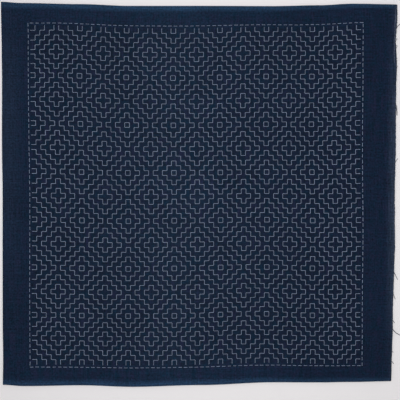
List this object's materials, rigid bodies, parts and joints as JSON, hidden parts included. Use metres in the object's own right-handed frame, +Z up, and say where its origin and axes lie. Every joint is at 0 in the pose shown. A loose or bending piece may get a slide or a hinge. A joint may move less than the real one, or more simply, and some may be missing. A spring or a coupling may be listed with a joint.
{
  "type": "sashiko embroidered cloth",
  "caption": "Indigo cotton cloth folded double and laid flat, covered by a one-stitch sashiko pattern of nested crosses and diamonds in a dashed frame, with a raw frayed end.",
  "frame": {"origin": "under the middle of the folded cloth, on the surface that it lies on", "axes": "+X from the fold to the cut ends, +Y across the loom width to the far selvedge, +Z up out of the stitched side"},
  "size_m": [0.3544, 0.3446, 0.0033],
  "materials": {
    "indigo_cotton": "matt plain weave, dark indigo, slightly slubby",
    "pale_yarn": "soft twisted cotton yarn, pale blue grey"
  },
  "bodies": {
    "root": {"cloth": "indigo_cotton"}
  },
  "joints": []
}
